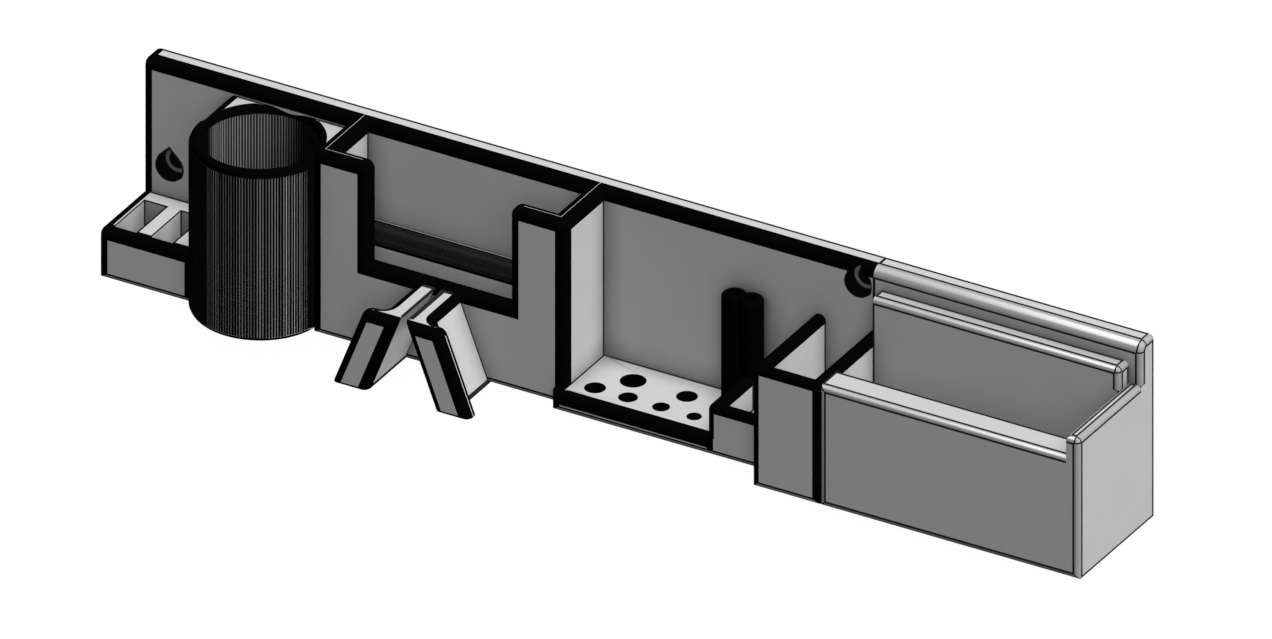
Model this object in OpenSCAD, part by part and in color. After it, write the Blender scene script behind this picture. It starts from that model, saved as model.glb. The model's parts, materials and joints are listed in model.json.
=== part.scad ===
// Wall tool holder, printed in two runs that are fused at a seam: plug slots, a round cup, a pliers
// pocket with two hooked pegs, a key shelf, needle tubes, two upright pockets and an open bin.
// Millimetres. X runs along the wall, the wall is at Y = 0, the front faces -Y, and Z is up.

/* [Back plate] */
// Height of the back plate
plate_h = 41.8; // [36:0.1:60]
// Thickness of the back plate
plate_t = 5; // [4.2:0.1:8]
// Round on the edges of the left print
edge_r = 2; // [0.6:0.1:2.1]
// Round on the edges of the right print and along the foot
fine_r = 1; // [0.3:0.1:1.3]

/* [Screw holes] */
// Through hole for the screw's shank
screw_d = 3.5; // [2.5:0.1:4.5]
// Width of the pocket for the screw's head
head_d = 6; // [5.2:0.1:7]
// Depth of the pocket for the screw's head
head_depth = 3.5; // [1:0.1:4]
// Left screw, in from the left end
left_screw_in = 6.3; // [5:0.1:12]
// Left screw, above the foot
left_screw_up = 18.1; // [16:0.1:30]
// Right screw, in from the right end of the left print
right_screw_in = 5.6; // [5.6:0.1:10]
// Right screw, below the top edge
right_screw_down = 4.6; // [4.5:0.1:9]

/* [Plug bench] */
// Width of the bench
bench_w = 20.1; // [18.4:0.1:40]
// Height of the bench
bench_h = 11.4; // [7:0.1:13.5]
// How far the bench stands out from the plate
bench_d = 17.8; // [16.8:0.1:24]
// Width of a plug slot
slot_w = 5; // [2.5:0.1:5.8]
// Length of a plug slot, front to back
slot_len = 12.1; // [8:0.1:13]
// Floor left under a plug slot
slot_floor = 2.4; // [1.2:0.1:5]
// First slot, in from the left end
slot_in = 2.8; // [2:0.1:4]
// Wall between the two slots
slot_gap = 3.4; // [1.5:0.1:5]
// Wall behind the slots
slot_back = 3.7; // [1.5:0.1:4.5]

/* [Round cup] */
// Outer diameter of the cup
cup_d = 28.5; // [24:0.1:34]
// Wall of the cup
cup_wall = 2.35; // [2.3:0.05:4]
// Height of the cup
cup_h = 39.2; // [20:0.1:39.6]
// How deep the cup's back is sunk into the plate's face
cup_sink = 2.25; // [0.4:0.05:2.25]
// How far the cup laps into the pliers pocket's side wall
cup_lap = 0.6; // [0:0.1:1]
// Round on both edges of the cup's rim
cup_rim_r = 1.1; // [0.4:0.05:1.12]
// Thickness of the cup's floor
cup_floor_t = 3; // [1.5:0.1:6]
// Inside round where the bench's front runs into the cup
blend_r = 1.3; // [0.5:0.1:2]

/* [Pliers pocket] */
// Width of the pliers pocket
pliers_w = 58.8; // [50:0.1:90]
// How far the pocket stands out from the plate
pliers_d = 15.6; // [12:0.1:17]
// Wall of the pocket
pliers_wall = 4.4; // [4.3:0.1:6]
// Thickness of the pocket's floor
pliers_floor_t = 3.5; // [1.5:0.1:8]
// Width of the cut in the pocket's front
cut_w = 32.5; // [16:0.1:42]
// Height of the sill under the cut
sill_h = 19; // [12:0.1:30]
// How far the rest ledge stands out from the plate
ledge_d = 4; // [2:0.1:6]
// Height of the rest ledge's top
ledge_h = 20.1; // [10:0.1:30]
// Round on the rest ledge
ledge_r = 3.3; // [0.5:0.1:3.8]

/* [Hooked pegs] */
// Opening between the pegs at their tops
peg_gap = 2.6; // [1:0.1:8]
// How far the pegs stand out from the pocket
peg_reach = 15.4; // [9:0.1:24]
// Level thickness of a peg's arm
peg_t = 3.65; // [2.6:0.05:6]
// Slant of the pegs away from upright, in degrees
peg_slant = 19; // [5:0.5:25]
// How far the lip reaches past the arm
lip_out = 4.2; // [2.2:0.1:7]
// Thickness of the lip, front to back
lip_t = 4.2; // [4.2:0.1:7]
// How far the pegs' tops lie below the sill
peg_drop = 0.8; // [0.3:0.1:6]
// Inside round between the arm and the lip
hook_r = 1.6; // [0.5:0.1:3]

/* [Key shelf] */
// Width of the shelf between the pockets
shelf_w = 34.3; // [33.8:0.1:60]
// How far the shelf and the small pocket stand out from the plate
shelf_d = 18.5; // [18:0.1:24]
// Thickness of the shelf
shelf_t = 3.95; // [2.5:0.05:6]
// How far the shelf laps round the pliers pocket's corner
shelf_lap = 2; // [1:0.1:4]
// Key holes of the front row, from the left
front_key_d = [4.2, 3.8, 3.4, 2.9]; // [1.5:0.1:5.5]
// First key hole of the front row, in from the shelf's left end
front_key_in = 5.1; // [3.5:0.1:6.5]
// Spacing of the front row
front_key_pitch = 7.63; // [6:0.01:8.5]
// Front row, out from the plate
front_key_out = 12.5; // [11.8:0.1:14]
// Key holes of the back row, from the left
back_key_d = [5.2, 4.2]; // [1.5:0.1:6]
// First key hole of the back row, in from the shelf's left end
back_key_in = 10.3; // [4:0.1:11]
// Spacing of the back row
back_key_pitch = 12.45; // [8:0.01:13]
// Back row, out from the plate
back_key_out = 6.26; // [4:0.01:6.8]

/* [Needle tubes] */
// Outer diameter of a needle tube
tube_d = 5.3; // [4.8:0.1:6.4]
// Bore of a needle tube
tube_bore = 2.8; // [1.5:0.1:3]
// Height of the needle tubes' tops
tube_top = 28.6; // [16:0.1:36]
// Spacing of the two tubes
tube_pitch = 3.8; // [3.5:0.1:4.4]
// First tube, in from the shelf's right end
tube_in = 2.8; // [2.4:0.1:2.9]
// How deep a tube's back is sunk into the plate's face
tube_sink = 0.15; // [0.05:0.05:0.8]
// Round on a tube's outer rim
tube_rim_r = 0.9; // [0.3:0.05:1]

/* [Small and scraper pockets] */
// Wall of the small and scraper pockets
pocket_wall = 2.8; // [2.8:0.1:4]
// Round on both edges of these pockets' rims
pocket_rim_r = 1.35; // [0.5:0.05:1.35]
// Width of the small pocket, up to the scraper pocket
small_w = 14.1; // [9:0.1:30]
// Height of the small pocket
small_h = 11.5; // [8:0.1:15]
// Width of the scraper pocket
scraper_w = 15.8; // [11:0.1:40]
// How far the scraper pocket and the bin stand out from the plate
scraper_d = 25; // [20.5:0.1:40]
// Height of the scraper pocket and of the bin's front wall
scraper_h = 27.7; // [16:0.1:28]
// Thickness of the scraper pocket's floor
scraper_floor_t = 3; // [1.5:0.1:8]

/* [Bin] */
// Width of the bin, from the scraper pocket to the right end
bin_w = 59.8; // [30:0.1:120]
// Thickness of the bin's front wall
bin_front_t = 6.7; // [3:0.1:9]
// Thickness of the bin's end wall
bin_end_t = 2.9; // [2:0.1:6]
// Height of the bin's end wall
bin_end_h = 32.4; // [16:0.1:36]
// Small round inside the end wall's rim
bin_end_inner_r = 0.5; // [0.2:0.1:0.9]
// Thickness of the bin's floor
bin_floor_t = 3; // [1.5:0.1:8]
// How far the pad stands out from the plate
pad_d = 3.8; // [2:0.1:8]
// Height of the pad's top
pad_h = 37.3; // [20:0.1:39]

/* [Hidden] */
$fn = 96;
// Overrun of a cutting shape past the face it opens
bleed = 1;
// Smallest gap that keeps two slanted surfaces from lying in each other
hair = 0.01;
// Where each block starts, counted from the left end
cup_left = bench_w;
cup_r = cup_d / 2;
cup_x = cup_left + cup_r;
cup_out = cup_r - cup_sink;
bore_r = cup_r - cup_wall;
pliers_x = cup_left + cup_d - cup_lap;
pliers_mid = pliers_x + pliers_w / 2;
shelf_x = pliers_x + pliers_w;
small_x = shelf_x + shelf_w;
scraper_x = small_x + small_w;
bin_x = scraper_x + scraper_w;
plate_len = bin_x + bin_w;
// The left print's right edge is rounded, and the seam shows where that round starts
seam_x = bin_x - edge_r;
inner_w = pliers_w - 2 * pliers_wall;
bin_inner_right = plate_len - bin_end_t;
peg_h = sill_h - peg_drop;
lip_w = (peg_t + lip_out) * cos(peg_slant);
// Width that a peg and its slant take up at the foot, with room to spare
peg_span = peg_gap / 2 + peg_t + lip_out + peg_h * tan(peg_slant) + bleed;
tube_out = tube_d / 2 - tube_sink;
tube_x = small_x - tube_in;
left_print_grey = [0.46, 0.46, 0.47];
right_print_grey = [0.6, 0.6, 0.61];
cup_grey = [0.2, 0.2, 0.21];
tube_black = [0.06, 0.06, 0.06];

// Moves a shape from left-end, foot and wall coordinates to the plate's centre on the wall.
module at_home() {
    translate([-plate_len / 2, 0, -plate_h / 2]) children();
}

// A box from x0 to x1, standing out from the plate's face from d0 to d1, and from z0 up to z1.
module block(x0, x1, d0, d1, z0, z1) {
    translate([x0, -plate_t - d1, z0]) cube([x1 - x0, d1 - d0, z1 - z0]);
}

// A point given by its distance out from the plate's face.
function spot(x, d, z) = [x, -plate_t - d, z];

// Flat cutter that rounds the corner of an outline filling the +X +Y quarter.
module corner_2d(r) {
    difference() {
        translate([-bleed, -bleed]) square(r + bleed);
        translate([r, r]) circle(r);
    }
}

// Cutter for an edge along +Z: it leaves a round on a solid that fills the +X +Y quarter.
module edge_tool(len, r) {
    linear_extrude(len) corner_2d(r);
}

// Turns a shape made for the +X +Y +Z side of a point to the sides named by the signs.
module toward(sx, sy, sz) {
    mirror([sx < 0 ? 1 : 0, 0, 0]) mirror([0, sy < 0 ? 1 : 0, 0]) mirror([0, 0, sz < 0 ? 1 : 0])
        children();
}

// Edge rounds along X, Y and Z. The signs name the side on which the solid lies.
module edge_x(at, len, r, sy, sz) {
    translate(at) toward(1, sy, sz) rotate([90, 0, 90]) edge_tool(len, r);
}

module edge_y(at, len, r, sx, sz) {
    translate(at) toward(sx, 1, sz) rotate([0, -90, -90]) edge_tool(len, r);
}

module edge_z(at, len, r, sx, sy) {
    translate(at) toward(sx, sy, 1) edge_tool(len, r);
}

// Ball round where three edge rounds meet at an outer corner.
module ball_corner(at, r, sx, sy, sz) {
    translate(at) toward(sx, sy, sz) difference() {
        translate([-bleed, -bleed, -bleed]) cube(r + bleed);
        translate([r, r, r]) sphere(r);
    }
}

// Rounds the mouth of an upright pocket that is open to the plate at its back.
module mouth_round(x0, x1, d, h, r) {
    back = d + bleed;
    edge_y(spot(x0, d, h), back, r, -1, -1);
    edge_y(spot(x1, d, h), back, r, 1, -1);
    edge_x(spot(x0, d, h), x1 - x0, r, -1, -1);
    intersection() {
        edge_y(spot(x0, d + r, h), r, r, -1, -1);
        edge_x(spot(x0 - r, d, h), r, r, -1, -1);
    }
    intersection() {
        edge_y(spot(x1, d + r, h), r, r, 1, -1);
        edge_x(spot(x1, d, h), r, r, -1, -1);
    }
}

// Teardrop outline for a screw head, with its point up so that it prints without support.
module teardrop(d) {
    circle(d = d);
    rotate(45) square(d / 2);
}

// Screw hole through the plate with a pocket for the head.
module screw_hole(x, z) {
    translate([x, bleed, z]) rotate([90, 0, 0]) cylinder(d = screw_d, h = plate_t + 2 * bleed);
    translate([x, head_depth - plate_t, z]) rotate([90, 0, 0]) linear_extrude(head_depth + bleed)
        teardrop(head_d);
}

// Section of a pliers pocket wall along the plate, with both top edges rounded.
module wall_end(x, depth) {
    difference() {
        translate([x, -depth, 0]) cube([pliers_wall, depth, plate_h]);
        edge_y([x, -depth, plate_h], depth, edge_r, 1, -1);
        edge_y([x + pliers_wall, -depth, plate_h], depth, edge_r, -1, -1);
    }
}

module left_back_plate() color(left_print_grey) at_home() {
    difference() {
        translate([0, -plate_t, 0]) cube([seam_x, plate_t, plate_h]);
        // The pocket's two side walls run on over the round to the plate's flat top.
        difference() {
            edge_x([0, -plate_t, plate_h], seam_x, edge_r, 1, -1);
            wall_end(pliers_x, plate_t + bleed);
            wall_end(shelf_x - pliers_wall, plate_t + bleed);
        }
        edge_y([0, -plate_t, plate_h], plate_t + bleed, edge_r, 1, -1);
        edge_z([0, -plate_t, bench_h], plate_h - bench_h, edge_r, 1, 1);
        // Below that the left edge's round runs out on the bench's rounded shoulder.
        intersection() {
            edge_z([0, -plate_t, bench_h - edge_r], edge_r, edge_r, 1, 1);
            edge_y([0, -plate_t - bleed, bench_h], edge_r + 2 * bleed, edge_r, 1, -1);
        }
        ball_corner([0, -plate_t, plate_h], edge_r, 1, 1, -1);
        screw_hole(left_screw_in, left_screw_up);
        screw_hole(bin_x - right_screw_in, plate_h - right_screw_down);
    }
}

// Cutter that carries the end's fine round over the plate's larger top round.
module end_roll() {
    translate([plate_len, edge_r - plate_t, plate_h - edge_r]) rotate([0, -90, 0]) rotate([0, 0, -90])
        rotate_extrude(angle = 90) translate([edge_r, 0]) mirror([1, 0]) corner_2d(fine_r);
}

module right_back_plate() color(right_print_grey) at_home() {
    round_top = plate_h - edge_r;
    difference() {
        translate([seam_x, -plate_t, 0]) cube([plate_len - seam_x, plate_t, plate_h]);
        edge_x([seam_x, -plate_t, plate_h], plate_len - seam_x, edge_r, 1, -1);
        edge_y([plate_len, edge_r - plate_t, plate_h], plate_t - edge_r + bleed, fine_r, -1, -1);
        edge_z([plate_len, -plate_t, bin_end_h], round_top - bin_end_h, fine_r, -1, 1);
        end_roll();
    }
}

// Plan of the cup with its cheeks, which fill the corners between the cup and the plate.
module cup_plan() {
    translate([cup_x, -plate_t - cup_out]) circle(cup_r);
    translate([cup_left, -plate_t - cup_out]) square([cup_d, cup_out]);
}

module plug_bench() color(left_print_grey) at_home() {
    face = plate_t + bench_d;
    lead = bench_d + blend_r - cup_out;
    blend_x = cup_x - sqrt(pow(cup_r + blend_r, 2) - pow(lead, 2));
    slot_from = plate_t + slot_back;
    difference() {
        union() {
            block(0, cup_x, 0, bench_d, 0, bench_h);
            // Inside round where the front runs into the cup.
            linear_extrude(bench_h) difference() {
                polygon([
                    [blend_x, -face + blend_r], [blend_x, -face - blend_r],
                    [cup_x, -plate_t - cup_out]
                ]);
                translate([blend_x, -face - blend_r]) circle(blend_r);
            }
        }
        translate([0, 0, -bleed]) linear_extrude(bench_h + 2 * bleed) cup_plan();
        for (i = [0, 1])
            translate([slot_in + i * (slot_w + slot_gap), -slot_from - slot_len, slot_floor])
                cube([slot_w, slot_len, bench_h]);
        edge_x([0, -face, bench_h], cup_x, edge_r, 1, -1);
        edge_y([0, -face, bench_h], bench_d, edge_r, 1, -1);
        edge_z([0, -face, 0], bench_h, edge_r, 1, 1);
        ball_corner([0, -face, bench_h], edge_r, 1, 1, -1);
        edge_x([0, -face, 0], cup_x, fine_r, 1, 1);
    }
}

module round_cup() color(cup_grey) at_home() {
    axis_y = -plate_t - cup_out;
    far_y = axis_y - cup_d;
    difference() {
        linear_extrude(cup_h) difference() {
            cup_plan();
            translate([cup_left, -plate_t]) square([cup_d, plate_t]);
            // Flat side, where the cup laps into the pliers pocket's wall.
            translate([pliers_x, axis_y - cup_r]) square([pliers_wall, cup_d]);
        }
        translate([cup_x, axis_y, -bleed]) cylinder(r = bore_r, h = cup_h + 2 * bleed);
        // Inner edge of the rim, all the way round.
        translate([cup_x, axis_y, cup_h]) rotate_extrude()
            translate([bore_r, 0]) mirror([0, 1]) corner_2d(cup_rim_r);
        // Outer edge of the rim, round the front half.
        translate([cup_x, axis_y, cup_h]) rotate([0, 0, 180]) rotate_extrude(angle = 180)
            translate([cup_r, 0]) mirror([1, 0]) mirror([0, 1]) corner_2d(cup_rim_r);
        edge_y([cup_left, axis_y, cup_h], cup_out, edge_r, 1, -1);
        // Foot, from the bench's front to the pliers pocket's corner.
        intersection() {
            translate([cup_x, axis_y, 0]) rotate([0, 0, 180]) rotate_extrude(angle = 180)
                translate([cup_r, 0]) mirror([1, 0]) corner_2d(fine_r);
            translate([0, 0, -2 * bleed]) linear_extrude(fine_r + 4 * bleed) polygon([
                [cup_left, -plate_t - bench_d], [cup_left, far_y],
                [cup_left + cup_d, far_y], [cup_left + cup_d, edge_r - plate_t - pliers_d]
            ]);
        }
    }
}

module cup_floor() color(cup_grey) at_home() {
    translate([cup_x, -plate_t - cup_out, 0]) cylinder(r = bore_r, h = cup_floor_t);
}

module pliers_left_wall() color(left_print_grey) at_home() {
    front = plate_t + pliers_d;
    difference() {
        block(pliers_x, pliers_x + pliers_wall, 0, pliers_d, 0, plate_h);
        pliers_rims();
        edge_z([pliers_x, -front, 0], plate_h, edge_r, 1, 1);
        ball_corner([pliers_x, -front, plate_h], edge_r, 1, 1, -1);
        edge_x([pliers_x, -front, 0], pliers_wall, fine_r, 1, 1);
    }
}

// Rounds on the outer and inner top edges of the pliers pocket.
module pliers_rims() {
    front = plate_t + pliers_d;
    edge_x([pliers_x, -front, plate_h], pliers_w, edge_r, 1, -1);
    edge_y([pliers_x, -front, plate_h], pliers_d, edge_r, 1, -1);
    edge_y([shelf_x, -front, plate_h], pliers_d, edge_r, -1, -1);
    mouth_round(pliers_x + pliers_wall, shelf_x - pliers_wall, pliers_d - pliers_wall, plate_h, edge_r);
}

module pliers_right_wall() color(left_print_grey) at_home() {
    front = plate_t + pliers_d;
    difference() {
        block(shelf_x - pliers_wall, shelf_x, 0, pliers_d, 0, plate_h);
        pliers_rims();
        edge_z([shelf_x, -front, 0], plate_h, edge_r, -1, 1);
        ball_corner([shelf_x, -front, plate_h], edge_r, -1, 1, -1);
        edge_x([shelf_x - pliers_wall, -front, 0], pliers_wall - shelf_lap, fine_r, 1, 1);
    }
}

// Front wall's post between a side wall and the cut, with a rounded top and a rounded cut side.
module front_post() {
    post_w = (inner_w - cut_w) / 2;
    difference() {
        cube([post_w, pliers_wall, plate_h]);
        edge_x([0, 0, plate_h], post_w, edge_r, 1, -1);
        edge_x([0, pliers_wall, plate_h], post_w, edge_r, -1, -1);
        edge_y([post_w, 0, plate_h], pliers_wall, edge_r, -1, -1);
        edge_z([post_w, 0, 0], plate_h, edge_r, -1, 1);
        edge_z([post_w, pliers_wall, 0], plate_h, edge_r, -1, -1);
        ball_corner([post_w, 0, plate_h], edge_r, -1, 1, -1);
        ball_corner([post_w, pliers_wall, plate_h], edge_r, -1, -1, -1);
    }
}

// Sill of the front wall, rounded on both sides under the cut.
module front_sill() {
    difference() {
        cube([inner_w, pliers_wall, sill_h]);
        edge_x([0, 0, sill_h], inner_w, edge_r, 1, -1);
        edge_x([0, pliers_wall, sill_h], inner_w, edge_r, -1, -1);
    }
}

// Front wall of the pliers pocket in its place.
module front_wall_solid() {
    translate(spot(pliers_x + pliers_wall, pliers_d, 0)) difference() {
        union() {
            front_sill();
            front_post();
            translate([inner_w, 0, 0]) mirror([1, 0, 0]) front_post();
        }
        edge_x([0, 0, 0], inner_w, fine_r, 1, 1);
    }
}

module pliers_front_wall() color(left_print_grey) at_home() front_wall_solid();

module pliers_floor() color(left_print_grey) at_home() {
    block(
        pliers_x + pliers_wall, shelf_x - pliers_wall, 0, pliers_d - pliers_wall, 0, pliers_floor_t
    );
}

module pliers_ledge() color(left_print_grey) at_home() {
    from = pliers_x + pliers_wall;
    difference() {
        block(from, from + inner_w, 0, ledge_d, pliers_floor_t, ledge_h);
        edge_x(spot(from, ledge_d, ledge_h), inner_w, ledge_r, 1, -1);
    }
}

// Plans of a hooked peg's arm and lip, square to its slant and rounded at their free corners.
module arm_plan() {
    translate([0, -peg_reach]) difference() {
        square([peg_t * cos(peg_slant), peg_reach + edge_r]);
        corner_2d(edge_r);
    }
}

module lip_plan() {
    translate([0, -peg_reach]) difference() {
        square([lip_w, lip_t]);
        corner_2d(edge_r);
        translate([lip_w, 0]) mirror([1, 0]) corner_2d(edge_r);
        translate([lip_w, lip_t]) mirror([1, 0]) mirror([0, 1]) corner_2d(edge_r);
    }
}

// Plan of the inside round between the arm and the lip.
module seat_plan() {
    translate([peg_t * cos(peg_slant), lip_t - peg_reach]) difference() {
        square(hook_r);
        translate([hook_r, hook_r]) circle(hook_r);
    }
}

// Cutter for the top edge of a slanted side, along Y: a round between the level top and the slope.
// It leaves the round a hair proud of both, so that no step is cut where it runs out.
module slant_edge(x) {
    reach = edge_r / tan(45 + peg_slant / 2);
    slope = [sin(peg_slant), -cos(peg_slant)];
    out = [cos(peg_slant), sin(peg_slant)];
    translate([x, 2 * edge_r, peg_h]) rotate([90, 0, 0])
        linear_extrude(peg_reach + 3 * edge_r) difference() {
            polygon([
                [-reach, 0], [-reach, bleed], [out.x * bleed, out.y * bleed + bleed],
                reach * slope + bleed * out, reach * slope
            ]);
            translate([-reach, -edge_r]) circle(edge_r + hair);
        }
}

// Part of a slanted bar between two heights, made from the bar's plan.
module slanted_bar(z0, z1) {
    intersection() {
        translate([peg_gap / 2, 0, peg_h]) rotate([0, -peg_slant, 0])
            translate([0, 0, -2 * peg_h]) linear_extrude(3 * peg_h) children();
        translate([0, -peg_reach, z0]) cube([peg_span, peg_reach + edge_r, z1 - z0]);
    }
}

// Right-hand peg, with X counted from the middle of the pair and Y from the pocket's front.
module hook_peg() {
    shoulder = peg_h - edge_r;
    difference() {
        union() {
            slanted_bar(0, shoulder) union() {
                arm_plan();
                lip_plan();
                seat_plan();
            }
            difference() {
                slanted_bar(shoulder, peg_h) arm_plan();
                slant_edge(peg_gap / 2 + peg_t);
            }
            difference() {
                slanted_bar(shoulder, peg_h) lip_plan();
                slant_edge(peg_gap / 2 + peg_t + lip_out);
                edge_x([0, lip_t - peg_reach, peg_h], peg_span, edge_r, -1, -1);
            }
        }
        edge_x([0, -peg_reach, peg_h], peg_span, edge_r, 1, -1);
        edge_x([0, -peg_reach, 0], peg_span, fine_r, 1, 1);
    }
}

module right_hook_peg() color(left_print_grey) at_home() difference() {
    translate(spot(pliers_mid, pliers_d, 0)) hook_peg();
    front_wall_solid();
}

module left_hook_peg() color(left_print_grey) at_home() difference() {
    translate(spot(pliers_mid, pliers_d, 0)) mirror([1, 0, 0]) hook_peg();
    front_wall_solid();
}

// A row of upright key holes through the shelf.
module key_row(sizes, start, pitch, out) {
    for (i = [0 : len(sizes) - 1])
        translate(spot(shelf_x + start + i * pitch, out, -bleed))
            cylinder(d = sizes[i], h = shelf_t + 2 * bleed);
}

module key_shelf() color(left_print_grey) at_home() {
    from = shelf_x - shelf_lap;
    long = small_x - from;
    difference() {
        block(from, small_x, 0, shelf_d, 0, shelf_t);
        // The pliers pocket stands in this corner.
        difference() {
            block(from - bleed, shelf_x, -bleed, pliers_d, -bleed, shelf_t + bleed);
            edge_z(spot(shelf_x, pliers_d, -bleed), shelf_t + 2 * bleed, edge_r, -1, 1);
        }
        key_row(front_key_d, front_key_in, front_key_pitch, front_key_out);
        key_row(back_key_d, back_key_in, back_key_pitch, back_key_out);
        edge_x(spot(from, shelf_d, shelf_t), long, edge_r, 1, -1);
        edge_z(spot(from, shelf_d, 0), shelf_t, edge_r, 1, 1);
        edge_x(spot(from, shelf_d, 0), long, fine_r, 1, 1);
    }
}

module needle_tubes() color(tube_black) at_home() {
    length = tube_top - shelf_t;
    difference() {
        for (i = [0, 1])
            translate(spot(tube_x + i * tube_pitch, tube_out, shelf_t)) difference() {
                cylinder(d = tube_d, h = length);
                translate([0, 0, length]) rotate_extrude()
                    translate([tube_d / 2, 0]) mirror([1, 0]) mirror([0, 1]) corner_2d(tube_rim_r);
            }
        for (i = [0, 1])
            translate(spot(tube_x + i * tube_pitch, tube_out, shelf_t - bleed))
                cylinder(d = tube_bore, h = length + 2 * bleed);
        translate([tube_x - tube_d, -plate_t, 0]) cube([2 * tube_d + tube_pitch, plate_t, plate_h]);
    }
}

module small_pocket() color(left_print_grey) at_home() {
    rim = pocket_rim_r;
    inner_x = small_x + pocket_wall;
    mouth = shelf_d - pocket_wall;
    difference() {
        block(small_x, scraper_x, tube_out, shelf_d, shelf_t, small_h);
        block(inner_x, scraper_x + bleed, tube_out - bleed, mouth, 0, small_h + bleed);
        // The right needle tube closes the left wall at its back.
        translate(spot(tube_x + tube_pitch, tube_out, 0)) cylinder(d = tube_d, h = small_h + bleed);
        edge_y(spot(small_x, shelf_d, small_h), shelf_d, rim, 1, -1);
        edge_x(spot(small_x, shelf_d, small_h), small_w, rim, 1, -1);
        edge_z(spot(small_x, shelf_d, shelf_t), small_h, rim, 1, 1);
        ball_corner(spot(small_x, shelf_d, small_h), rim, 1, 1, -1);
        edge_y(spot(inner_x, mouth, small_h), mouth, rim, -1, -1);
        edge_x(spot(inner_x, mouth, small_h), small_w, rim, -1, -1);
        intersection() {
            edge_y(spot(inner_x, mouth + rim, small_h), rim, rim, -1, -1);
            edge_x(spot(inner_x - rim, mouth, small_h), rim, rim, -1, -1);
        }
    }
}

module small_floor() color(left_print_grey) at_home() {
    difference() {
        block(small_x, scraper_x, 0, shelf_d, 0, shelf_t);
        edge_x(spot(small_x, shelf_d, 0), small_w, fine_r, 1, 1);
    }
}

module scraper_pocket() color(left_print_grey) at_home() {
    rim = pocket_rim_r;
    mouth = scraper_d - pocket_wall;
    difference() {
        block(scraper_x, bin_x, 0, scraper_d, 0, scraper_h);
        block(scraper_x + pocket_wall, bin_x - pocket_wall, -bleed, mouth, -bleed, scraper_h + bleed);
        edge_y(spot(scraper_x, scraper_d, scraper_h), scraper_d, rim, 1, -1);
        edge_y(spot(bin_x, scraper_d, scraper_h), scraper_d, rim, -1, -1);
        edge_x(spot(scraper_x, scraper_d, scraper_h), scraper_w, rim, 1, -1);
        edge_z(spot(scraper_x, scraper_d, 0), scraper_h, rim, 1, 1);
        edge_z(spot(bin_x, scraper_d, 0), scraper_h, rim, -1, 1);
        ball_corner(spot(scraper_x, scraper_d, scraper_h), rim, 1, 1, -1);
        ball_corner(spot(bin_x, scraper_d, scraper_h), rim, -1, 1, -1);
        mouth_round(scraper_x + pocket_wall, bin_x - pocket_wall, mouth, scraper_h, rim);
        edge_x(spot(scraper_x, scraper_d, 0), scraper_w, fine_r, 1, 1);
    }
}

module scraper_floor() color(left_print_grey) at_home() {
    block(
        scraper_x + pocket_wall, bin_x - pocket_wall, 0, scraper_d - pocket_wall, 0, scraper_floor_t
    );
}

module bin_front_wall() color(right_print_grey) at_home() {
    long = bin_inner_right - bin_x;
    difference() {
        block(bin_x, bin_inner_right, scraper_d - bin_front_t, scraper_d, 0, scraper_h);
        edge_x(spot(bin_x, scraper_d, scraper_h), long, fine_r, 1, -1);
        edge_z(spot(bin_x, scraper_d, 0), scraper_h, fine_r, 1, 1);
        edge_x(spot(bin_x, scraper_d, 0), long, fine_r, 1, 1);
    }
}

module bin_end_wall() color(right_print_grey) at_home() {
    difference() {
        block(bin_inner_right, plate_len, 0, scraper_d, 0, bin_end_h);
        edge_y(spot(plate_len, scraper_d, bin_end_h), scraper_d, fine_r, -1, -1);
        edge_x(spot(bin_inner_right, scraper_d, bin_end_h), bin_end_t, fine_r, 1, -1);
        edge_z(spot(plate_len, scraper_d, 0), bin_end_h, fine_r, -1, 1);
        ball_corner(spot(plate_len, scraper_d, bin_end_h), fine_r, -1, 1, -1);
        edge_y(spot(bin_inner_right, scraper_d, bin_end_h), scraper_d, bin_end_inner_r, 1, -1);
        edge_x(spot(bin_inner_right, scraper_d, 0), bin_end_t, fine_r, 1, 1);
    }
}

module bin_floor() color(right_print_grey) at_home() {
    block(bin_x, bin_inner_right, 0, scraper_d - bin_front_t, 0, bin_floor_t);
}

module bin_back_pad() color(right_print_grey) at_home() {
    long = bin_inner_right - bin_x;
    difference() {
        block(bin_x, bin_inner_right, 0, pad_d, bin_floor_t, pad_h);
        edge_x(spot(bin_x, pad_d, pad_h), long, fine_r, 1, -1);
        edge_y(spot(bin_inner_right, pad_d, pad_h), pad_d, fine_r, -1, -1);
        edge_z(spot(bin_inner_right, pad_d, bin_end_h), pad_h - bin_end_h, fine_r, -1, 1);
        ball_corner(spot(bin_inner_right, pad_d, pad_h), fine_r, -1, 1, -1);
    }
}

left_back_plate();
right_back_plate();
plug_bench();
round_cup();
cup_floor();
pliers_left_wall();
pliers_front_wall();
pliers_right_wall();
pliers_floor();
pliers_ledge();
left_hook_peg();
right_hook_peg();
key_shelf();
needle_tubes();
small_pocket();
small_floor();
scraper_pocket();
scraper_floor();
bin_front_wall();
bin_end_wall();
bin_floor();
bin_back_pad();
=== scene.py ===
import json
import math

import bmesh
import bpy
import numpy as np
from mathutils import Matrix, Vector
from mathutils.bvhtree import BVHTree


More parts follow.
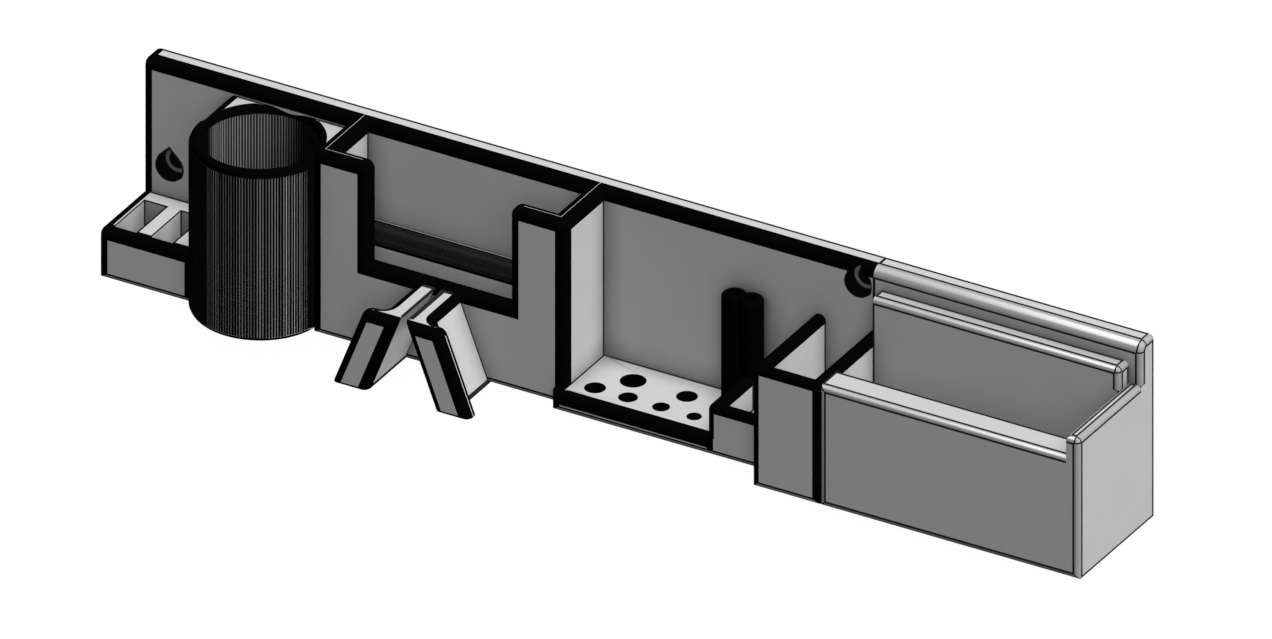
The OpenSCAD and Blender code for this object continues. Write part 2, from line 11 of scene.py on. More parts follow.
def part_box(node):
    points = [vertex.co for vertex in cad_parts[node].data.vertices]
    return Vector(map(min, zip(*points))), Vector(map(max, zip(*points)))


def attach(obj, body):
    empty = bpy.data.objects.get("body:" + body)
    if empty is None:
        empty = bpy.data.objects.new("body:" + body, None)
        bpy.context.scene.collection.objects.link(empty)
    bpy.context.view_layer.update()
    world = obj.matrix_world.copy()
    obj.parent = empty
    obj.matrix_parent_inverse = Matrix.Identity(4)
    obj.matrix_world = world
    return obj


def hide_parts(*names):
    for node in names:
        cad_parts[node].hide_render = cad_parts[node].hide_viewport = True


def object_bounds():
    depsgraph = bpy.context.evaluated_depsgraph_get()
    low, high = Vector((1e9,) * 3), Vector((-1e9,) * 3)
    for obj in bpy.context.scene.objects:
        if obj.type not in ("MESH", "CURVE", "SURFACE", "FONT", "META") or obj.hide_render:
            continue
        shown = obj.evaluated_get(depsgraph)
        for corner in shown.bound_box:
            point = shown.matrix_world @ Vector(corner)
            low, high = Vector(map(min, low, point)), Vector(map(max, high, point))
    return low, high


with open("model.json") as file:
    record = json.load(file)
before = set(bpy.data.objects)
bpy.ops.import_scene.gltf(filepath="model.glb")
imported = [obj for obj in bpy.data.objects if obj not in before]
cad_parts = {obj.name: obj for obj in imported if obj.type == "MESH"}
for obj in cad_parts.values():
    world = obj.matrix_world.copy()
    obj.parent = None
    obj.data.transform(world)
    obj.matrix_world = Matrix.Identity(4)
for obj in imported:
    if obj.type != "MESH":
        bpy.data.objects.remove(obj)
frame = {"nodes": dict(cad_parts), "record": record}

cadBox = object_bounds()
mm = 0.001

# The picture is a view without perspective, from 30 degrees to the right and 30 degrees up
viewpoint = {
    "turn": math.radians(30),
    "lift": math.radians(30),
    "pictureWidth": 1272,
    "pixelsPerMm": 5.0,
    "aimRight": -3.58 * mm,     # picture's middle, from the plate's middle on the wall
    "aimUp": -7.72 * mm,
    "distance": 0.9,
    "nearest": 0.01,
    "furthest": 10,
}
towardsCamera = Vector((
    math.sin(viewpoint["turn"]) * math.cos(viewpoint["lift"]),
    -math.cos(viewpoint["turn"]) * math.cos(viewpoint["lift"]),
    math.sin(viewpoint["lift"]),
))
cameraRight = Vector((math.cos(viewpoint["turn"]), math.sin(viewpoint["turn"]), 0))
cameraUp = towardsCamera.cross(cameraRight)


def addCamera():
    data = bpy.data.cameras.new("camera")
    data.type = "ORTHO"
    data.ortho_scale = viewpoint["pictureWidth"] / viewpoint["pixelsPerMm"] * mm
    data.clip_start = viewpoint["nearest"]
    data.clip_end = viewpoint["furthest"]
    camera = bpy.data.objects.new("camera", data)
    bpy.context.scene.collection.objects.link(camera)
    aim = cameraRight * viewpoint["aimRight"] + cameraUp * viewpoint["aimUp"]
    axes = Matrix((cameraRight, cameraUp, towardsCamera)).transposed().to_4x4()
    camera.matrix_world = Matrix.Translation(aim + towardsCamera * viewpoint["distance"]) @ axes
    bpy.context.scene.camera = camera


addCamera()
print("camera placed")

# Even light, as in a drawing: brightest on tops, then on right sides, and no cast shadows but a faint one
studio = {
    "worldStrength": 0.24,
    "floorGap": 8 * mm,         # it hangs on a wall, so the floor lies free under it
    "floorSize": 4.0,
    "floorGrey": 0.12,          # what the part sees of the floor
    "floorWhite": 0.76,         # share of plain white that the camera sees
    "lamps": [                  # name, direction towards the lamp, strength, spread in degrees, casts shadows
        ("skylight", (0.0, 0.0, 1.0), 2.3, 30, False),
        ("rightWindow", (1.0, 0.0, 0.8), 4.85, 30, False),
        ("headlight", (0.433, -0.75, 0.5), 1.08, 40, True),
        ("backFill", (-0.5, 0.8, 0.0), 1.2, 60, False),
    ],
}


# One where the camera looks
def seenDirectly(nodes):
    return nodes.new("ShaderNodeLightPath").outputs["Is Camera Ray"]


def addWorld():
    world = bpy.data.worlds.new("studioWorld")
    world.use_nodes = True
    bpy.context.scene.world = world
    nodes, links = world.node_tree.nodes, world.node_tree.links
    background = nodes["Background"]
    background.inputs["Color"].default_value = (1, 1, 1, 1)
    strength = nodes.new("ShaderNodeMapRange")
    strength.inputs["To Min"].default_value = studio["worldStrength"]
    strength.inputs["To Max"].default_value = 1.0
    links.new(seenDirectly(nodes), strength.inputs["Value"])
    links.new(strength.outputs["Result"], background.inputs["Strength"])


def addLamps():
    for name, towards, power, spread, casts in studio["lamps"]:
        data = bpy.data.lights.new(name, "SUN")
        data.energy = power
        data.angle = math.radians(spread)
        data.use_shadow = casts
        lamp = bpy.data.objects.new(name, data)
        lamp.rotation_mode = "QUATERNION"
        lamp.rotation_quaternion = Vector(towards).to_track_quat("Z", "Y")
        bpy.context.scene.collection.objects.link(lamp)


# Grey to the part, and near white with a faint shadow to the camera
def paleFloor():
    paper = bpy.data.materials.new("paleFloor")
    paper.use_nodes = True
    nodes, links = paper.node_tree.nodes, paper.node_tree.links
    nodes.remove(nodes["Principled BSDF"])
    dull = nodes.new("ShaderNodeBsdfDiffuse")
    grey = studio["floorGrey"]
    dull.inputs["Color"].default_value = (grey, grey, grey, 1)
    glow = nodes.new("ShaderNodeEmission")
    glow.inputs["Strength"].default_value = studio["floorWhite"]
    both = nodes.new("ShaderNodeAddShader")
    pick = nodes.new("ShaderNodeMixShader")
    links.new(dull.outputs[0], both.inputs[0])
    links.new(glow.outputs[0], both.inputs[1])
    links.new(seenDirectly(nodes), pick.inputs[0])
    links.new(dull.outputs[0], pick.inputs[1])
    links.new(both.outputs[0], pick.inputs[2])
    links.new(pick.outputs[0], nodes["Material Output"].inputs["Surface"])
    return paper


def addFloor():
    half = studio["floorSize"] / 2
    height = cadBox[0].z - studio["floorGap"]
    mesh = bpy.data.meshes.new("floor")
    corners = [(-half, -half, height), (half, -half, height), (half, half, height), (-half, half, height)]
    mesh.from_pydata(corners, [], [(0, 1, 2, 3)])
    mesh.materials.append(paleFloor())
    floor = bpy.data.objects.new("floor", mesh)
    bpy.context.scene.collection.objects.link(floor)


addWorld()
addLamps()
addFloor()
print("lamps and floor placed")


# A maths node fed by numbers or sockets
def mathNode(tree, operation, *values):
    node = tree.nodes.new("ShaderNodeMath")
    node.operation = operation
    for socket, value in zip(node.inputs, values):
        if isinstance(value, (int, float)):
            socket.default_value = value
        else:
            tree.links.new(value, socket)
    return node.outputs[0]


# Spreads a socket from one range onto another, whose ends are numbers or sockets
def rangeNode(tree, value, ends, ontoLow=0, ontoHigh=1, smooth=False):
    node = tree.nodes.new("ShaderNodeMapRange")
    if smooth:
        node.interpolation_type = "SMOOTHSTEP"
    node.inputs["From Min"].default_value, node.inputs["From Max"].default_value = ends
    tree.links.new(value, node.inputs["Value"])
    for socket, wanted in ((node.inputs["To Min"], ontoLow), (node.inputs["To Max"], ontoHigh)):
        if isinstance(wanted, (int, float)):
            socket.default_value = wanted
        else:
            tree.links.new(wanted, socket)
    return node.outputs["Result"]


# Multiplies a colour by a number, both from sockets
def scaleNode(tree, colour, amount):
    node = tree.nodes.new("ShaderNodeVectorMath")
    node.operation = "SCALE"
    tree.links.new(colour, node.inputs[0])
    tree.links.new(amount, node.inputs["Scale"])
    return node.outputs["Vector"]


def noiseNode(tree, place, scale, detail):
    node = tree.nodes.new("ShaderNodeTexNoise")
    node.inputs["Scale"].default_value = scale
    node.inputs["Detail"].default_value = detail
    tree.links.new(place, node.inputs["Vector"])
    return node.outputs["Fac"]


# Grain of printed plastic, the same for all finishes, and the reach of the painted shade that darkens flats near
# other faces
grainAndCornerShade = {
    "cloudScale": 90,
    "cloudDetail": 4,
    "cloudRange": (0.3, 0.7),
    # painted shade: flats darken where another face is this near
    "cornerReach": 6 * mm,      # how near another face has to be to darken a flat
    "cornerRange": (0.3, 0.95),
    "cornerSamples": 8,
    "fineScale": 2500,
    "fineDetail": 2,
    "layerHeight": 0.2 * mm,
    "layerShare": 0.35,         # of the layer lines in the height
    "roughSpread": 0.08,
    "bumpDepth": 0.02 * mm,
}


# Fine printed grain: layer lines along Z and a soft mottling, as a colour, a roughness and a height; the colour also
# carries painted shade near other faces
def printGrainAndCornerShadeGroup():
    group = bpy.data.node_groups.new("printGrainAndCornerShade", "ShaderNodeTree")
    group.interface.new_socket("Base", in_out="INPUT", socket_type="NodeSocketColor")
    for label in ("Mottle", "Layer Height", "Dull", "Painted Corner Shade"):
        group.interface.new_socket(label, in_out="INPUT", socket_type="NodeSocketFloat")
    group.interface.new_socket("Color", in_out="OUTPUT", socket_type="NodeSocketColor")
    for label in ("Roughness", "Height"):
        group.interface.new_socket(label, in_out="OUTPUT", socket_type="NodeSocketFloat")
    nodes, links = group.nodes, group.links
    enter = nodes.new("NodeGroupInput").outputs
    leave = nodes.new("NodeGroupOutput").inputs
    place = nodes.new("ShaderNodeTexCoord").outputs["Object"]

    cloud = noiseNode(group, place, grainAndCornerShade["cloudScale"], grainAndCornerShade["cloudDetail"])
    mottle = rangeNode(
        group, cloud, grainAndCornerShade["cloudRange"],
        mathNode(group, "SUBTRACT", 1, enter["Mottle"]), mathNode(group, "ADD", 1, enter["Mottle"]))
    # Painted shade: the colour darkens where other faces are near, as in corners and recesses
    corner = nodes.new("ShaderNodeAmbientOcclusion")
    corner.samples = grainAndCornerShade["cornerSamples"]
    corner.inputs["Distance"].default_value = grainAndCornerShade["cornerReach"]
    shade = rangeNode(
        group, corner.outputs["AO"], grainAndCornerShade["cornerRange"], mathNode(group, "SUBTRACT", 1, enter["Painted Corner Shade"]))
    links.new(scaleNode(group, enter["Base"], mathNode(group, "MULTIPLY", mottle, shade)), leave["Color"])

    axes = nodes.new("ShaderNodeSeparateXYZ")
    links.new(place, axes.inputs[0])
    layer = mathNode(group, "DIVIDE", axes.outputs["Z"], enter["Layer Height"])
    wave = mathNode(group, "SINE", mathNode(group, "MULTIPLY", layer, 2 * math.pi))
    fine = noiseNode(group, place, grainAndCornerShade["fineScale"], grainAndCornerShade["fineDetail"])
    links.new(mathNode(group, "MULTIPLY_ADD", wave, grainAndCornerShade["layerShare"], fine), leave["Height"])
    links.new(mathNode(group, "MULTIPLY_ADD", fine, grainAndCornerShade["roughSpread"], enter["Dull"]), leave["Roughness"])
    return group


printGrainAndCornerShade = printGrainAndCornerShadeGroup()


# Printed plastic of one grey, with painted shade in its corners as deep as the last number asks
def printedPlastic(name, grey, dull, mottle, shine, bump, paintedCornerShade=0.0):
    material = bpy.data.materials.new(name)
    material.use_nodes = True
    nodes, links = material.node_tree.nodes, material.node_tree.links
    shader = nodes["Principled BSDF"]
    shader.inputs["Specular IOR Level"].default_value = shine
    texture = nodes.new("ShaderNodeGroup")
    texture.node_tree = printGrainAndCornerShade
    texture.inputs["Base"].default_value = (*grey, 1)
    texture.inputs["Mottle"].default_value = mottle
    texture.inputs["Layer Height"].default_value = grainAndCornerShade["layerHeight"]
    texture.inputs["Dull"].default_value = dull
    texture.inputs["Painted Corner Shade"].default_value = paintedCornerShade
    raised = nodes.new("ShaderNodeBump")
    raised.inputs["Strength"].default_value = bump
    raised.inputs["Distance"].default_value = grainAndCornerShade["bumpDepth"]
    links.new(texture.outputs["Height"], raised.inputs["Height"])
    links.new(texture.outputs["Color"], shader.inputs["Base Color"])
    links.new(texture.outputs["Roughness"], shader.inputs["Roughness"])
    links.new(raised.outputs["Normal"], shader.inputs["Normal"])
    return material


middleGrey, footGrey, cupGrey = (0.3, 0.3, 0.3), (0.12, 0.12, 0.12), (0.12, 0.12, 0.122)
deepBlack, lineBlack, ribBlack, streakBlack = ((v, v, v) for v in (0.001, 0.012, 0.002, 0.02))
greyFlat = printedPlastic("greyFlat", middleGrey, dull=0.55, mottle=0.02, shine=0.08, bump=0.05, paintedCornerShade=0.6)
# The rounds take the flats' grey; painted shade and a painted highlight are put on it further down
greyRound = printedPlastic("greyRound", middleGrey, dull=0.35, mottle=0.02, shine=0.2, bump=0.02, paintedCornerShade=0.4)
footRound = printedPlastic("footRound", footGrey, dull=0.5, mottle=0.02, shine=0.1, bump=0.05)
blackRound = printedPlastic("blackRound", deepBlack, dull=0.7, mottle=0.05, shine=0.0, bump=0.05)
thinLine = printedPlastic("thinLine", lineBlack, dull=0.7, mottle=0.05, shine=0.0, bump=0.0)
cupWall = printedPlastic("cupWall", cupGrey, dull=0.45, mottle=0.05, shine=0.05, bump=0.05)
cupBore = printedPlastic("cupBore", cupGrey, dull=0.45, mottle=0.05, shine=0.05, bump=0.05)
cupRib = printedPlastic("cupRib", ribBlack, dull=0.7, mottle=0.05, shine=0.0, bump=0.0)
paleRib = printedPlastic("paleRib", streakBlack, dull=0.6, mottle=0.05, shine=0.02, bump=0.0)


# Scales a material's colour by a number from a socket
def scaleColour(material, amount):
    tree = material.node_tree
    colour = tree.nodes["Principled BSDF"].inputs["Base Color"]
    tree.links.new(scaleNode(tree, colour.links[0].from_socket, amount), colour)


# How far a socket's vector reaches along a direction, spread smoothly from one range onto another
def reachAlong(tree, socket, direction, fromLow, fromHigh, toLow, toHigh):
    reach = tree.nodes.new("ShaderNodeVectorMath")
    reach.operation = "DOT_PRODUCT"
    reach.inputs[1].default_value = direction
    tree.links.new(socket, reach.inputs[0])
    return rangeNode(tree, reach.outputs["Value"], (fromLow, fromHigh), toLow, toHigh, smooth=True)


# Painted shade and a painted highlight on the grey rounds: their colour is scaled below the flats', and lifted where
# they face between front and top, more towards the bin's end
paintedRoundLight = {
    "dark": 0.66,
    "facing": (0, -0.575, 0.818),
    "edge": 0.925,
    "full": 0.995,
    "gain": (0.3, 1.1),
    "along": (62 * mm, 116 * mm),
}


def addPaintedRoundLight(material):
    tree = material.node_tree
    place = tree.nodes.new("ShaderNodeTexCoord")
    gain = reachAlong(tree, place.outputs["Object"], (1, 0, 0), *paintedRoundLight["along"], *paintedRoundLight["gain"])
    lobe = reachAlong(tree, place.outputs["Normal"], paintedRoundLight["facing"], paintedRoundLight["edge"], paintedRoundLight["full"], 0, 1)
    scaleColour(material, mathNode(tree, "MULTIPLY_ADD", gain, lobe, paintedRoundLight["dark"]))


# The grey rounds get their painted shade and painted highlight
addPaintedRoundLight(greyRound)

cupLow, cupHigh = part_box("cup_floor")
cup = {
    "middle": Vector(((cupLow.x + cupHigh.x) / 2, (cupLow.y + cupHigh.y) / 2, 0)),
    "bore": 11.9 * mm,
    "outside": 14.25 * mm,
    "boreNear": 0.1 * mm,       # faces this near to the two widths belong to the walls
    "outsideNear": 0.4 * mm,
    "foot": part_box("round_cup")[0].z,
    "top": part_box("round_cup")[1].z,
    "rimBelow": 1.5 * mm,       # the walls begin this far below the rim's top
    "flatSide": -67.4 * mm,     # towards the pliers pocket, black
    "upright": 0.05,            # wall faces rise or fall less than this
    # Painted light and shade from side to side: from and to, in mm right of the middle, and the shares of the grey
    # there
    "boreFade": ((-10.6, -9.2, 0.0, 1.0), (4.0, 9.0, 1.0, 0.08)),
    "wallFade": ((-11.0, -2.0, 2.3, 1.0), (2.0, 7.0, 1.0, 1.7)),
}


# Painted light and shade on the cup's walls: their grey is scaled from side to side across the view, the bore darker
# towards its edges and the outside wall lighter towards its sides
def addPaintedLightAndShade(material, steps):
    tree = material.node_tree
    place = tree.nodes.new("ShaderNodeTexCoord").outputs["Object"]
    start = cup["middle"].dot(cameraRight)
    for low, high, first, last in steps:
        scaleColour(material, reachAlong(tree, place, cameraRight, start + low * mm, start + high * mm, first, last))


addPaintedLightAndShade(cupBore, cup["boreFade"])
addPaintedLightAndShade(cupWall, cup["wallFade"])
print("materials made")

# How the edges are dressed: the flats keep their grey, and a strip along each of their edges is darkened
edges = {
    "lineWidth": 0.18 * mm,     # of the drawn line on each side of a sharp edge, as seen in the picture
    "outlineWidth": 0.4 * mm,   # where only one of the two sides is seen, or carries the line
    "blackReach": 0.34 * mm,    # how far the black of a round spreads onto the flat beside it
    "holeLine": 0.12 * mm,      # around the key holes, whose edges are shorter than the next number
    "holeFacet": 0.8 * mm,
    "flushWidth": 0.01 * mm,
    "widest": 2.2,              # widths grow at most this much on flats that the picture sees at a slant
    "roomShare": 0.38,          # a strip takes at most this share of the free width in front of it
    "ringShare": 0.49,          # and this one on the cup's ring, which is narrower than the next number
    "ringWidth": 0.8 * mm,
    "facetWidth": 1.2 * mm,     # flats on the cup's box that are narrower than this are facets of its round
    "narrowest": 0.25 * mm,     # flats narrower than this are painted like the rounds beside them
    "firstInset": 0.004 * mm,
    "longestShift": 3,          # corners of an inset move at most this many strip widths
    "smooth": 0.7,              # cosine above which two directions run into each other without a corner
    "rounded": 0.82,            # the same for two faces of a round
    "facing": 0.9,              # cosine above which a direction counts as that of an axis
    "hidden": 0.02,             # faces are seen in the picture above this cosine
    "flatLimit": 0.99995,
    "sameFlat": 0.9999,
    "probe": 0.12 * mm,         # looks this far past an edge for a neighbour
    "lift": 0.05 * mm,
    "ribbonLift": 0.008 * mm,
    "footRise": 1.1 * mm,       # rounds below this height above a foot are foot rounds
    "skin": 0.05 * mm,          # half the depth of a box that picks out one face
    "onBox": 0.01 * mm,         # flats this near to a node's box lie on it
    "weld": 0.001 * mm,         # corners this near become one
    "shortest": 0.0005 * mm,
    "onCut": 0.0001 * mm,       # corners this near to a cut lie on it
    "downwards": 0.03,          # faces of a foot round face down more than this
    "folded": 0.5,              # cosine below which an inset face has turned over
    "straight": 0.01,           # squared sine below which two rim edges lie in one line
}
flatPaint, roundPaint, linePaint, footPaint, wallPaint, borePaint = range(6)     # places in a mesh's materials


# A box on a node in which flats are black, on all sides as large as the node where no number is given
def blackBox(name, lowX=None, lowY=None, lowZ=None, highX=None, highY=None, highZ=None):
    low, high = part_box(name)
    least = [low[i] - mm if v is None else v for i, v in enumerate((lowX, lowY, lowZ))]
    most = [high[i] + mm if v is None else v for i, v in enumerate((highX, highY, highZ))]
    return name, least, most


# Flats that are black in the picture, and the cuts that part them from the rest of a flat
pocketCut = 27.25 * mm          # the low pocket's side round, carried down to the foot
shelfCut = -8.25 * mm           # the shelf's top, beside the pliers pocket
shelfSkin = -17 * mm            # just below the shelf's top
benchAim = -108.88 * mm         # the bench's front is black right of the line of sight through here
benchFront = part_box("plug_bench")[0].y
benchCut = benchAim - benchFront * math.tan(viewpoint["turn"])
frontLow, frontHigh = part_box("pliers_front_wall")
cutOutInsets = Vector((5, 0.3, 5)) * mm, Vector((5, 0.3, 1)) * mm     # from the wall's low and high corners
pocketTop, scraperTop = (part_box(name)[1].z for name in ("small_pocket", "scraper_pocket"))
blackFlats = [
    blackBox("small_floor", highX=pocketCut, highY=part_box("small_floor")[0].y + 2 * edges["skin"]),
    blackBox("small_floor", highX=pocketCut, lowZ=shelfSkin),
    blackBox("small_pocket", lowZ=pocketTop - edges["skin"]),
    blackBox("scraper_pocket", lowZ=scraperTop - edges["skin"]),
    blackBox("key_shelf", highX=shelfCut, lowZ=shelfSkin),
    blackBox("left_hook_peg", lowY=frontLow.y - edges["skin"]),
    blackBox("right_hook_peg", lowY=frontLow.y - edges["skin"]),
    blackBox("plug_bench", lowX=benchCut, highY=benchFront + 2 * edges["skin"]),
    blackBox("pliers_front_wall", *(frontLow + cutOutInsets[0]), *(frontHigh - cutOutInsets[1])),
    blackBox("round_cup", highY=cup["middle"].y, lowZ=cup["top"] - edges["skin"]),
    blackBox("round_cup", lowX=cup["flatSide"] - edges["skin"], highX=cup["flatSide"] + edges["skin"]),
]
blackAbove = {"scraper_pocket": scraperTop - 0.9 * mm}     # upright flats are black above this level
cuts = {
    "small_floor": [((pocketCut, 0, 0), (1, 0, 0))],
    "key_shelf": [((shelfCut, 0, 0), (1, 0, 0))],
    "plug_bench": [((benchCut, 0, 0), (1, 0, 0))],
    "round_cup": [((0, 0, cup["top"] - cup["rimBelow"]), (0, 0, 1)), (cup["middle"], (0, 1, 0))],
}

# Hooked pegs: slanted arms with a lip, lofted from plans so that one round runs along arm, seat and lip
peg = {
    "names": {"left_hook_peg": -1, "right_hook_peg": 1},     # and the side to which each leans
    "lean": math.radians(21),
    "inwards": 0.6 * mm,        # their facing sides stand this much nearer to each other than the solids' do
    "reach": 15.4 * mm,
    "root": 1.0 * mm,           # goes this far into the pocket's front
    "armWidth": 4.2 * mm,
    "lipOut": 4.05 * mm,
    "lipDepth": 4.2 * mm,
    "round": 2.0 * mm,
    "seatRound": 1.6 * mm,
    "footRound": 0.6 * mm,
    "arcSteps": 8,
    "junction": 0.02 * mm,      # the sides turn black this far before the pocket's front
    "blackReach": 0.08 * mm,
    "frontReach": 0.03 * mm,    # of the black on the front flats
    "wallLine": 0.32 * mm,      # of the line where a side meets the pocket's front
    "lineGrowth": 2.4,          # its drawn lines are this much wider than elsewhere
}

leftNodes = [name for name in frame["nodes"] if not name.startswith(("bin_", "right_back"))]
upright = [Vector((1, 0, 0)), Vector((0, 1, 0)), Vector((0, 0, 1))]
# Nodes with round bores, and the axes along which a facet of a bore could pass for a flat
boredAxes = {
    "round_cup": (0, 1),
    "cup_floor": (0, 1),
    "needle_tubes": (0, 1),
    "key_shelf": (0, 1),
    "left_back_plate": (0, 2),
}

solids = {
    name: BVHTree.FromPolygons([v.co for v in o.data.vertices], [p.vertices for p in o.data.polygons])
    for name, o in frame["nodes"].items()
}


# What lies past an edge of a flat: "flush" where the same print carries the flat on,
# "wall" where another piece rises from it, and else "open"
def pastEdge(name, middle, outward, normal):
    lifted = normal * edges["lift"]
    start = middle + outward * edges["probe"] + lifted
    hit = solids[name].ray_cast(start, -normal, 2 * edges["lift"])
    if hit[0] is not None and hit[1].dot(normal) > edges["flatLimit"] and name not in peg["names"]:
        return "flush"
    for other, tree in solids.items():
        if other == name or (other in leftNodes) != (name in leftNodes):
            continue
        hit = tree.ray_cast(start, -normal, 2 * edges["lift"])
        if hit[0] is not None and hit[1].dot(normal) > edges["facing"]:
            return "flush"
        near = middle - outward * edges["probe"] + lifted
        if tree.ray_cast(near, outward, 2 * edges["probe"])[0] is not None:
            return "wall"
    return "open"


# Cuts a mesh along a plane, through everything
def cutAlong(bm, place, facing):
    bmesh.ops.bisect_plane(
        bm, geom=bm.verts[:] + bm.edges[:] + bm.faces[:], dist=edges["onCut"], plane_co=place, plane_no=facing)


# Groups of joined faces that lie in one plane, each as a dictionary so that it keeps its order
def flatRegions(bm, name, slants):
    flat = {f for f in bm.faces if any(abs(f.normal.dot(a)) > edges["flatLimit"] for a in upright + slants)}
    for node, least, most in blackFlats:
        if node == name:
            flat -= {f for f in flat if all(least[i] < f.calc_center_median()[i] < most[i] for i in range(3))}
    groups = []
    for first in bm.faces:
        if first not in flat:
            continue
        flat.discard(first)
        group, queue = {first}, [first]
        while queue:
            for edge in queue.pop().edges:
                for face in edge.link_faces:
                    if face in flat and face.normal.dot(first.normal) > edges["sameFlat"]:
                        flat.discard(face)
                        group.add(face)
                        queue.append(face)
        groups.append(dict.fromkeys(f for f in bm.faces if f in group))
    return groups


def rimOf(group):
    return [e for f in group for e in f.edges if sum(g in group for g in e.link_faces) == 1]


# Mean width of a group of faces
def widthOf(group):
    return 2 * sum(f.calc_area() for f in group) / sum(e.calc_length() for e in rimOf(group))


# True for a facet of a bore that only happens to face along an axis
def isBoreFacet(name, group):
    face = next(iter(group))
    low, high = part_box(name)
    for axis in boredAxes.get(name, ()):
        if abs(face.normal[axis]) > edges["facing"]:
            level = face.verts[0].co[axis]
            onBox = min(abs(level - low[axis]), abs(level - high[axis])) < edges["onBox"]
            return not onBox or (name == "round_cup" and widthOf(group) < edges["facetWidth"])
    return False


# Free width of the flat in front of each rim edge, measured square to the edge, and a metre where nothing stops it
def freeWidths(rim, inwards, normal):
    across = inwards[0].normalized()
    along = normal.cross(across)
    ends = np.array([[(v.co.dot(across), v.co.dot(along)) for v in e.verts] for e in rim])
    starts, spans = ends[:, 0], ends[:, 1] - ends[:, 0]
    widths = []
    for index, inward in enumerate(inwards):
        towards = np.array((inward.dot(across), inward.dot(along)))
        base = ends[index].mean(axis=0)
        det = towards[0] * -spans[:, 1] + towards[1] * spans[:, 0]
        det[np.abs(det) < 1e-12] = np.nan
        gap = starts - base
        far = (gap[:, 0] * -spans[:, 1] + gap[:, 1] * spans[:, 0]) / det
        share = (towards[0] * gap[:, 1] - towards[1] * gap[:, 0]) / det
        hits = far[(far > 1e-6) & (share >= 0) & (share <= 1)]
        widths.append(hits.min() if len(hits) else 1.0)
    return widths


# Direction in a flat's plane from a rim edge onto the flat
def inwardFrom(edge, group, normal):
    inside = next(f for f in edge.link_faces if f in group)
    inward = normal.cross((edge.verts[1].co - edge.verts[0].co).normalized())
    loop = next(l for l in inside.loops if l.edge is edge)
    return inward if loop.vert is edge.verts[0] else -inward


# How the strip along a rim edge is painted
def stripKind(name, edge, inward, normal, group, flatFaces, black):
    beside = [f for f in edge.link_faces if f not in group]
    tangent = bool(beside) and beside[0] not in flatFaces and beside[0].normal.dot(normal) > edges["smooth"]
    past = pastEdge(name, (edge.verts[0].co + edge.verts[1].co) / 2, -inward, normal)
    if tangent and black and past != "flush":
        return "black"
    if past == "open" and (tangent or not beside or beside[0].normal.dot(towardsCamera) < edges["hidden"]):
        return "outline"
    return past


# How wide that strip is
def stripWidth(name, edge, inward, normal, kind, room, reach):
    drawn = {
        "black": reach, "wall": edges["outlineWidth"], "outline": edges["outlineWidth"], "open": edges["lineWidth"],
    }
    wanted = edges["flushWidth"]
    if kind in drawn:
        seen = math.sqrt(max(0, 1 - inward.dot(towardsCamera) ** 2))
        wanted = drawn[kind] * min(1 / max(seen, 0.1), edges["widest"])
    if name == "key_shelf" and edge.calc_length() < edges["holeFacet"]:
        wanted = edges["holeLine"]
    elif name in peg["names"]:
        if kind != "black":
            wanted *= peg["lineGrowth"]
        elif normal.y < -edges["facing"] and inward.z < edges["facing"]:
            wanted = peg["frontReach"]
        elif inward.y < -edges["facing"]:
            wanted = peg["wallLine"]
    ring = name == "round_cup" and room < edges["ringWidth"]
    return min(wanted, (edges["ringShare"] if ring else edges["roomShare"]) * room)


# How far the corner between two strips moves, each given as the direction onto the flat and the width
def cornerShift(one, first, two, second):
    cosine = max(-1, min(1, one.dot(two)))
    spread = 1 - cosine * cosine
    if spread < edges["straight"]:
        shift = one * max(first, second)
    elif cosine > edges["smooth"]:
        shift = (one + two).normalized() * (first + second) / 2
    else:
        shift = one * ((first - second * cosine) / spread) + two * ((second - first * cosine) / spread)
    limit = edges["longestShift"] * max(first, second)
    return shift * (limit / shift.length) if shift.length > limit else shift


# Makes the inside of a flat anew where its inset has folded over
def refill(bm, group, normal, flatFaces):
    for face in group:
        face.normal_update()
    if all(face.normal.dot(normal) >= edges["folded"] for face in group):
        return
    flatFaces.difference_update(group)
    border = list(dict.fromkeys(rimOf(group)))
    bmesh.ops.delete(bm, geom=list(group), context="FACES")
    filled = bmesh.ops.triangle_fill(bm, edges=border, use_beauty=True, normal=normal)["geom"]
    filled = [f for f in filled if isinstance(f, bmesh.types.BMFace)]
    for face in filled:
        face.normal_update()
        if face.normal.dot(normal) < 0:
            face.normal_flip()
        face.material_index = flatPaint
    flatFaces.update(filled)


# Darkens a strip along the rim of one flat
def drawRim(bm, name, group, flatFaces, black, reach):
    rim = rimOf(group)
    normal = next(iter(group)).normal.copy()
    inwards = [inwardFrom(edge, group, normal) for edge in rim]
    rules = {}
    for edge, inward, room in zip(rim, inwards, freeWidths(rim, inwards, normal)):
        kind = stripKind(name, edge, inward, normal, group, flatFaces, black)
        rules[edge] = (inward, kind, stripWidth(name, edge, inward, normal, kind, room, reach))
    made = bmesh.ops.inset_region(
        bm, faces=list(group), thickness=edges["firstInset"], use_even_offset=False, use_boundary=True)
    shifts = {}
    for strip in made["faces"]:
        strip.material_index = flatPaint
        outer = [e for e in strip.edges if e in rules]
        if not outer:
            continue
        edge = outer[0]
        inward, kind, width = rules[edge]
        strip.material_index = {"flush": flatPaint, "black": roundPaint}.get(kind, linePaint)
        for side in strip.edges:
            ends = [v for v in side.verts if v in edge.verts]
            if side is not edge and len(ends) == 1:
                shifts.setdefault(side.other_vert(ends[0]), []).append((ends[0].co.copy(), inward, width))
    for vert, parts in shifts.items():
        vert.co = parts[0][0] + cornerShift(*parts[0][1:], *parts[-1][1:])
    flatFaces.update(made["faces"])
    refill(bm, group, normal, flatFaces)


